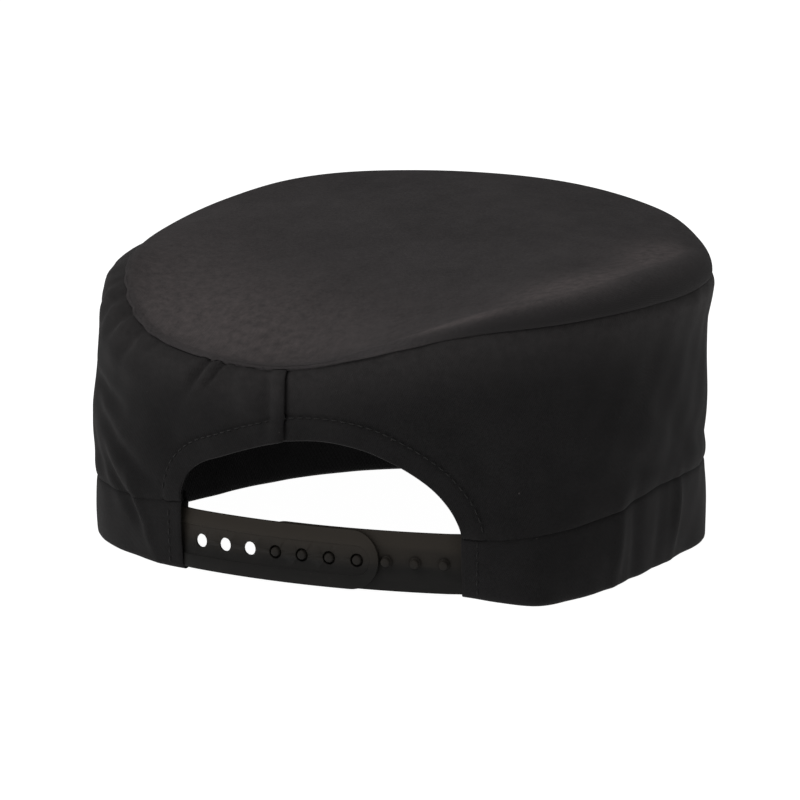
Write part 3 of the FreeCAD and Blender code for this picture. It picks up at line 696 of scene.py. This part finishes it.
def make_arch_stitches():
    """Topstitching beside the arch, stopping short of the band seam."""
    arch, outward = arch_edge(500)
    line = arch + outward * TOPSTITCH_INSET
    fine = 0.1
    line = resampled(line, int(distances(line)[-1] / fine))
    length, pitch = round(STITCH_LENGTH / fine), round(STITCH_PITCH / fine)
    stitches = []
    for start in range(10, len(line) - length, pitch):
        (along_1, up_1), (along_2, up_2) = line[start], line[start + length]
        if min(up_1, up_2) > max(band_up(along_1), band_up(along_2)) + 1.0:
            here, outwards = on_surface(wall_out, along_1, up_1, 0.12)
            there, _ = on_surface(wall_out, along_2, up_2, 0.12)
            stitches.append(stitch(here, there, outwards))
    return new_piece("arch_stitches", *joined(stitches))


def make_tack(name, along):
    """Upright row of stitches through the band and a strap tail."""
    stitches = []
    for count in range(TACK_STITCHES):
        low = STRAP_LOW + 0.6 + count * TACK_PITCH
        here, outwards = on_surface(band_face_out, along, low, 0.05)
        there, _ = on_surface(band_face_out, along + 0.15, low + TACK_LENGTH, 0.05)
        stitches.append(stitch(here, there, outwards))
    return new_piece(name, *joined(stitches))


# ---------------- snap strap

SNAP_PITCH = 9.5
SNAPS = 7
FIRST_HOLE, FIRST_PEG = -41.9, -13.4
HOLE_RADIUS, PEG_RADIUS = 2.2, 1.5
STRAP_THICK = 1.2
STRAP_CAMBER = 1.7
HOLE_FACE, PEG_FACE = -0.7, -2.2
OUTLINE_STEP = 1.2
SOFT_EDGE = 0.16


def strap_out(along, face):
    """A strap's outer face: its own place in the open, and inside the band's fold where it is sewn."""
    buried = ease(np.abs(along), BAND_END - 5, BAND_END + 4)
    pocket = band_face_out(along, np.full(np.shape(along), STRAP_MIDDLE)) - 1.7
    return face + (pocket - face) * buried


def stadium(left, right, low, high, round_left=False):
    """Outline of a strap as (along, up), half-round at its right end and at its left if asked."""
    radius, middle = (high - low) / 2, (high + low) / 2
    arc = np.linspace(-math.pi / 2, math.pi / 2, int(math.pi * radius / OUTLINE_STEP) + 1)
    first, last = left + (radius if round_left else 0), right - radius
    bottom = np.linspace(first, last, int((last - first) / OUTLINE_STEP) + 1)
    points = [(x, low) for x in bottom[:-1]]
    points += [(last + radius * math.cos(turn), middle + radius * math.sin(turn))
               for turn in arc[:-1]]
    points += [(x, high) for x in bottom[::-1][:-1]]
    if round_left:
        points += [(first - radius * math.cos(turn), middle + radius * math.sin(turn))
                   for turn in arc[::-1][:-1]]
    else:
        points += [(left, high - (high - low) * k / 10) for k in range(10)]
    return points


def circle(along, up, radius, sides=28):
    turns = [2 * math.pi * k / sides for k in range(sides)]
    return [(along + radius * math.cos(turn), up + radius * math.sin(turn)) for turn in turns]


def plate(name, outlines, holes, height, face, mirror):
    """A moulded plate from nested outlines and hole centres; height gives each point's relief."""
    loops = outlines + [circle(x, y, HOLE_RADIUS) for x, y in holes]
    points, edges = [], []
    for loop in loops:
        start = len(points)
        points += [Vector(point) for point in loop]
        edges += [(start + k, start + (k + 1) % len(loop)) for k in range(len(loop))]
    made, _, triangles, *_ = delaunay_2d_cdt(points, edges, [], 1, 1e-5)
    kept = []
    for triangle in triangles:
        middle = sum((made[v] for v in triangle), Vector((0, 0))) / 3
        if all(math.hypot(middle.x - x, middle.y - y) > HOLE_RADIUS - 0.05 for x, y in holes):
            kept.append(list(triangle))
    flat = np.array([(p.x * mirror, p.y) for p in made])
    relief = np.array([height(p.x, p.y) for p in made])
    above_middle = np.clip((flat[:, 1] - STRAP_LOW) / (STRAP_HIGH - STRAP_LOW) * 2 - 1, 0, 1)
    out = strap_out(flat[:, 0], face) - STRAP_CAMBER * above_middle**1.4
    front = place(flat[:, 0], flat[:, 1], out + relief)
    rear = place(flat[:, 0], flat[:, 1], out - STRAP_THICK)
    used = {}
    for triangle in kept:
        for a, b in zip(triangle, triangle[1:] + triangle[:1]):
            used[(a, b)] = used.get((a, b), 0) + 1
    rims = [(a, b) for (a, b) in used if (b, a) not in used]
    count = len(flat)
    faces = kept + [[v + count for v in reversed(t)] for t in kept]
    faces += [[b, a, a + count, b + count] for a, b in rims]
    return new_piece(name, np.concatenate([front, rear]), faces)


def softened(piece):
    """The piece with its sharp moulded edges rounded."""
    modifier = piece.modifiers.new("round", "BEVEL")
    modifier.width, modifier.segments, modifier.limit_method = SOFT_EDGE * MM, 2, "ANGLE"
    modifier.angle_limit = math.radians(50)
    evaluated = piece.evaluated_get(bpy.context.evaluated_depsgraph_get())
    rounded = bpy.data.meshes.new_from_object(evaluated)
    piece.modifiers.clear()
    piece.data = rounded
    rounded.shade_smooth()
    return piece


def sunk_panel(left, right, low, high, depth):
    """Relief of a strap's face: a shallow round-ended panel, sunk round the row of snaps."""
    radius, middle = (high - low) / 2, (high + low) / 2

    def height(along, up):
        across = max(0.0, along - (right - radius), (left + radius) - along)
        away = math.hypot(across, up - middle) - radius
        return -depth * (1 - ease(away, -0.2, 0.02))
    return height


def make_hole_strap():
    panel_middle, slope = STRAP_MIDDLE + 0.3, 0.25
    left, right, low, high = -TAIL_END + 1, HOLE_TIP - 2.8, panel_middle - 5.4, panel_middle + 4.6
    outlines = [stadium(-TAIL_END, HOLE_TIP, STRAP_LOW, STRAP_HIGH),
                stadium(left, right, low, high, round_left=True),
                stadium(left + slope, right - slope, low + slope, high - slope, round_left=True)]
    holes = [(FIRST_HOLE + k * SNAP_PITCH, STRAP_MIDDLE) for k in range(SNAPS)]
    relief = sunk_panel(left, right, low, high, 0.45)
    return softened(plate("hole_strap_moulding", outlines, holes, relief, HOLE_FACE, 1))


def snap_peg(along, up, base, height):
    """Points and faces of one moulded peg with a domed top and a small fillet at its root."""
    sides = 24
    profile = [(0.5, 0.0), (0.15, 0.12), (0.0, 0.4), (0.0, height - 0.6), (-0.12, height - 0.3),
               (-0.4, height - 0.08), (-0.9, height)]
    points = [place(x, y, base + lift) for wider, lift in profile
              for x, y in circle(along, up, PEG_RADIUS + wider, sides)]
    return points, tube_faces(len(profile), sides)


def make_peg_strap():
    """The peg half's plate, made mirrored, and its row of pegs as a second piece."""
    outline = stadium(-TAIL_END, -PEG_TIP, STRAP_LOW, STRAP_HIGH)
    strap = softened(plate("peg_strap_moulding", [outline], [], lambda along, up: 0.0, PEG_FACE, -1))
    pegs = [snap_peg(FIRST_PEG + k * SNAP_PITCH, STRAP_MIDDLE, PEG_FACE - 0.3, 2.0)
            for k in range(SNAPS)]
    return strap, new_piece("strap_pegs", *joined(pegs))


# ---------------- materials

WAVE_PERIOD = 0.314  # distance between a wave texture's bands at scale 1


class Recipe:
    """A node material with a Principled shader, and short calls to add nodes to it."""

    def __init__(self, name, roughness, **sockets):
        self.material = bpy.data.materials.new(name)
        self.material.use_nodes = True
        self.nodes = self.material.node_tree.nodes
        self.links = self.material.node_tree.links
        self.shader = self.nodes["Principled BSDF"]
        self.shader.inputs["Roughness"].default_value = roughness
        for socket, value in sockets.items():
            self.shader.inputs[socket.replace("_", " ")].default_value = value

    def fill(self, socket, value):
        if isinstance(value, bpy.types.NodeSocket):
            self.links.new(value, socket)
        else:
            socket.default_value = value

    def add(self, kind, settings=None, **inputs):
        node = self.nodes.new("ShaderNode" + kind)
        for key, value in (settings or {}).items():
            setattr(node, key, value)
        for key, value in inputs.items():
            self.fill(node.inputs[key.replace("_", " ")], value)
        return node

    def stored(self, name, output="Fac"):
        """Numbers kept on the mesh under a name."""
        return self.add("Attribute", {"attribute_name": name}).outputs[output]

    def position(self):
        return self.add("TexCoord").outputs["Object"]

    def turned(self, where, degrees):
        return self.add("Mapping", Vector=where, Rotation=(0, 0, math.radians(degrees))).outputs[0]

    def maths(self, operation, first, second):
        node = self.add("Math", {"operation": operation})
        self.fill(node.inputs[0], first)
        self.fill(node.inputs[1], second)
        return node.outputs[0]

    def total(self, *terms):
        """The sum of values times their weights."""
        added = None
        for value, weight in terms:
            weighted = self.maths("MULTIPLY", value, weight)
            added = weighted if added is None else self.maths("ADD", added, weighted)
        return added

    def spread(self, value, low, high, to_low=0.0, to_high=1.0):
        """A value mapped from one range to another."""
        return self.add("MapRange", Value=value, From_Min=low, From_Max=high, To_Min=to_low,
                        To_Max=to_high).outputs[0]

    def noise(self, where, scale, detail=3.0, roughness=0.55):
        return self.add("TexNoise", Vector=where, Scale=scale, Detail=detail,
                        Roughness=roughness).outputs[0]

    def wave(self, where, scale, distortion, detail=2.0, **settings):
        return self.add("TexWave", settings, Vector=where, Scale=scale, Distortion=distortion,
                        Detail=detail).outputs[1]

    def mixed(self, factor, dark, light):
        node = self.add("Mix", {"data_type": "RGBA"})
        self.fill(node.inputs[0], factor)
        for socket, colour in ((node.inputs[6], dark), (node.inputs[7], light)):
            self.fill(socket, (*colour, 1.0) if isinstance(colour, tuple) else colour)
        return node.outputs[2]

    def bumped(self, height, distance):
        node = self.add("Bump", Height=height, Distance=distance)
        self.links.new(node.outputs[0], self.shader.inputs["Normal"])

    def coloured(self, colour):
        self.links.new(colour, self.shader.inputs["Base Color"])

    def roughened(self, value, low, high):
        self.links.new(self.spread(value, 0.2, 0.8, low, high), self.shader.inputs["Roughness"])


LINT = (0.07, 0.062, 0.06)
# Painted shade: colour that the crown's right turn-down is darkened towards.
PAINTED_FOLD_SHADE = (0.019, 0.0178, 0.0180)


def twill(name, dark, light, pitch=0.62, relief=0.08, sheen=0.02, lint=True, pale_tone=None,
          patchy=0.3, with_painted_fold_shade=False):
    """Cotton twill: diagonal ribs crossed by single threads, mottled dye, fuzz and a little lint."""
    recipe = Recipe(name, 0.92, Sheen_Weight=sheen, Sheen_Roughness=0.5, Specular_IOR_Level=0.06,
                    Sheen_Tint=(0.9, 0.86, 0.86, 1.0))
    where = recipe.stored("weave", "Vector")
    ribs = recipe.wave(recipe.turned(where, 27), WAVE_PERIOD / pitch, 0.7)
    threads = recipe.wave(recipe.turned(where, -40), WAVE_PERIOD / (pitch * 0.7), 0.9, 1.0)
    weave = recipe.total((ribs, 0.65), (threads, 0.35))
    fuzz = recipe.noise(where, 0.9, 5.0, 0.75)
    mottle = recipe.noise(where, 0.16, 4.0, 0.6)
    cloud = recipe.noise(where, 0.028, 2.0)
    tone = recipe.total((weave, 0.22), (fuzz, 0.9), (mottle, 0.35), (cloud, 0.45))
    colour = recipe.mixed(recipe.spread(tone, 0.65, 1.2), dark, light)
    if lint:
        specks = recipe.spread(recipe.noise(where, 0.75, 1.0, 0.4), 0.79, 0.84, 0.0, 0.5)
        colour = recipe.mixed(specks, colour, LINT)
    # Painted shade: darkens the crown's right turn-down by its stored shade mask.
    if with_painted_fold_shade:
        colour = recipe.mixed(recipe.stored("shade"), colour, PAINTED_FOLD_SHADE)
    # Paler patches from a stored mask: on the crown partly rubbed wear and partly painted highlight,
    # on the wall a band under the crown seam.
    if pale_tone:
        broken = recipe.spread(recipe.noise(where, 0.34, 5.0, 0.7), 0.36, 0.66, patchy, 1.0)
        colour = recipe.mixed(recipe.maths("MULTIPLY", recipe.stored("pale_tone"), broken), colour, pale_tone)
    recipe.coloured(colour)
    recipe.roughened(fuzz, 0.84, 0.97)
    recipe.bumped(recipe.total((weave, 1.0), (fuzz, 1.2)), relief * MM)
    return recipe.material


def moulded_plastic(name):
    """Matte black polyethylene with flow marks, grain and scuffs, and a painted highlight that makes
    its upper half browner.
    """
    recipe = Recipe(name, 0.5, Specular_IOR_Level=0.07)
    where = recipe.position()
    grain = recipe.noise(where, 2600.0, 3.0, 0.6)
    flattened = recipe.add("Mapping", Vector=where, Scale=(1.0, 1.0, 6.0)).outputs[0]
    flow = recipe.noise(flattened, 55.0)
    scuffs = recipe.spread(recipe.noise(where, 420.0, 5.0, 0.8), 0.62, 0.80, 0.0, 0.6)
    height = recipe.add("SeparateXYZ", Vector=where).outputs[2]
    # Painted highlight: by height, the upper half is mixed towards brown, standing in for light from
    # above.
    painted_highlight_upper_half = recipe.spread(recipe.total((height, 1.0), (flow, 0.004)), 0.010, 0.018)
    base = recipe.mixed(recipe.spread(flow, 0.3, 0.7), (0.0085, 0.0082, 0.0078),
                        (0.0112, 0.0106, 0.0100))
    base = recipe.mixed(painted_highlight_upper_half, base, (0.0270, 0.0232, 0.0192))
    recipe.coloured(recipe.mixed(scuffs, base, (0.034, 0.030, 0.026)))
    recipe.roughened(flow, 0.42, 0.6)
    recipe.bumped(recipe.total((grain, 1.0), (flow, 2.0)), 0.02 * MM)
    return recipe.material


def twisted_thread(name, dark, light):
    recipe = Recipe(name, 0.7, Sheen_Weight=0.04, Specular_IOR_Level=0.15)
    strands = recipe.wave(recipe.position(), 900.0, 0.5, bands_direction="DIAGONAL")
    recipe.coloured(recipe.mixed(strands, dark, light))
    recipe.bumped(strands, 0.05 * MM)
    return recipe.material


def felt(name):
    recipe = Recipe(name, 0.95, Sheen_Weight=0.3)
    fibres = recipe.noise(recipe.stored("weave", "Vector"), 1.1, 6.0, 0.8)
    recipe.coloured(recipe.mixed(fibres, (0.42, 0.41, 0.37), (0.66, 0.65, 0.60)))
    recipe.bumped(fibres, 0.25 * MM)
    return recipe.material


def satin(name):
    recipe = Recipe(name, 0.45, Sheen_Weight=0.2, Specular_IOR_Level=0.5)
    where = recipe.stored("weave", "Vector")
    soil = recipe.noise(where, 0.18, 4.0)
    recipe.coloured(recipe.mixed(soil, (0.55, 0.53, 0.48), (0.74, 0.72, 0.68)))
    recipe.bumped(recipe.wave(where, 1.6, 0.3), 0.03 * MM)
    return recipe.material


def finish_with(piece, material, slot, *nodes, body="cap"):
    """Gives a piece its material, CAD nodes and, unless it bends, its body; the slot argument is not
    used.
    """
    piece.data.materials.clear()
    piece.data.materials.append(material)
    if nodes:
        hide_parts(*nodes)
    if body:
        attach(piece, body)
    return piece


# ---------------- the cap

def build_cap():
    # The crown's twill gets painted shade on its right turn-down, and paler patches that are partly
    # rubbed wear and partly painted highlight.
    crown_twill = twill("crown_twill", (0.021, 0.0192, 0.0196), (0.052, 0.0475, 0.0480), sheen=0.015,
                        pale_tone=(0.088, 0.0755, 0.0745), with_painted_fold_shade=True)
    wall_twill = twill("wall_twill", (0.0058, 0.0056, 0.0057), (0.0130, 0.0124, 0.0126), sheen=0.03,
                       pale_tone=(0.030, 0.0278, 0.0278), patchy=0.6)
    band_twill = twill("band_twill", (0.0060, 0.0058, 0.0059), (0.0134, 0.0128, 0.0130), sheen=0.03)
    # Painted shade: the facing's twill and the sweatband's towelling are set darker than the outer
    # cloth, standing in for the shade inside the cap.
    inner_twill_painted_shade = twill("inner_twill_painted_shade", (0.003, 0.003, 0.003), (0.006, 0.0058, 0.006), lint=False)
    towelling_painted_shade = twill("towelling_painted_shade", (0.0028, 0.0028, 0.0029), (0.006, 0.0058, 0.006), pitch=1.3,
                      relief=0.2, lint=False)
    tape = twill("woven_tape", (0.006, 0.006, 0.006), (0.012, 0.012, 0.0125), pitch=1.0, lint=False)
    thread = twisted_thread("sewing_thread", (0.006, 0.0058, 0.0058), (0.016, 0.0150, 0.0148))

    crown = finish_with(make_crown(), crown_twill, "crown_twill", "crown_panel")
    wall = finish_with(make_wall(), wall_twill, "side_twill", "side_panel")
    band = finish_with(make_band(), band_twill, "band_twill", "headband")
    facing = finish_with(make_facing(), inner_twill_painted_shade, "facing_twill", "arch_facing")
    seam_tape = finish_with(make_seam_tape(), tape, "seam_tape", "crown_seam_tape")
    felt_strip = finish_with(make_felt(), felt("felt"), "interlining", "headband_interlining")
    sweatband = finish_with(make_sweatband(), towelling_painted_shade, "sweatband_cloth", "sweatband")
    label = finish_with(make_label(), satin("label_satin"), "label_cloth", "care_label")
    arch_stitches = finish_with(make_arch_stitches(), thread, "thread", "arch_topstitch")
    left_tack = finish_with(make_tack("hole_strap_tack", -TACK_ALONG), thread, "thread",
                            "hole_strap_stitches")
    right_tack = finish_with(make_tack("peg_strap_tack", TACK_ALONG), thread, "thread",
                             "peg_strap_stitches")


def build_strap():
    plastic = moulded_plastic("strap_plastic")
    hole_strap = make_hole_strap()
    peg_strap, pegs = make_peg_strap()
    finish_with(hole_strap, plastic, "strap_plastic", "hole_strap", "hole_strap_tail", body=None)
    finish_with(peg_strap, plastic, "strap_plastic", "peg_strap", "peg_strap_tail", body=None)
    finish_with(pegs, plastic, "strap_plastic", body="peg_strap")
    for piece, body, inwards in ((hole_strap, "hole_strap", 1), (peg_strap, "peg_strap", -1)):
        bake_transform(piece)


# ---------------- studio

def area_light(name, where, size, power):
    """A rectangular light aimed at the middle of the cap."""
    data = bpy.data.lights.new(name, "AREA")
    data.shape, data.energy = "RECTANGLE", power
    data.size, data.size_y = size
    light = linked(name, data)
    light.location = where
    light.rotation_euler = (Vector((0, 0, 0.06)) - Vector(where)).to_track_quat("-Z", "Y").to_euler()


def build_studio():
    world = bpy.data.worlds.new("studio")
    bpy.context.scene.world = world
    world.use_nodes = True
    background = world.node_tree.nodes["Background"]
    background.inputs["Color"].default_value = (1.0, 1.0, 1.0, 1.0)
    background.inputs["Strength"].default_value = 0.35
    bpy.context.scene.view_settings.view_transform = "Standard"
    area_light("top_light", where=(-0.30, -0.50, 0.72), size=(0.6, 0.45), power=3.3)
    area_light("left_light", where=(-1.1, 0.35, 0.5), size=(0.5, 0.8), power=1.0)
    area_light("right_light", where=(1.0, 0.75, 0.45), size=(0.5, 0.8), power=0.5)


def build_floor():
    """White paper that glows, so that it shows white through the arch."""
    reach = 6.0
    mesh = bpy.data.meshes.new("floor")
    corners = [(-reach, -reach, 0), (reach, -reach, 0), (reach, reach, 0), (-reach, reach, 0)]
    mesh.from_pydata(corners, [], [(0, 1, 2, 3)])
    paper = Recipe("paper", 0.9, Base_Color=(0.3, 0.3, 0.3, 1), Specular_IOR_Level=0.0,
                   Emission_Color=(1, 1, 1, 1), Emission_Strength=0.99)
    mesh.materials.append(paper.material)
    linked("floor", mesh)


def build_camera():
    """Camera behind the cap, round to its right and a little above."""
    turn, rise, distance = math.radians(23.05), math.radians(12.32), 1.5
    back = Vector((math.sin(turn) * math.cos(rise), -math.cos(turn) * math.cos(rise), math.sin(rise)))
    target = Vector((-0.005, -0.0021, 0.0445))
    data = bpy.data.cameras.new("camera")
    data.lens, data.sensor_width = 202.5, 36.0
    camera = linked("camera", data)
    camera.location = target + back * distance
    camera.rotation_euler = (-back).to_track_quat("-Z", "Y").to_euler()
    bpy.context.scene.camera = camera


build_cap()
build_strap()
build_floor()
build_studio()
build_camera()
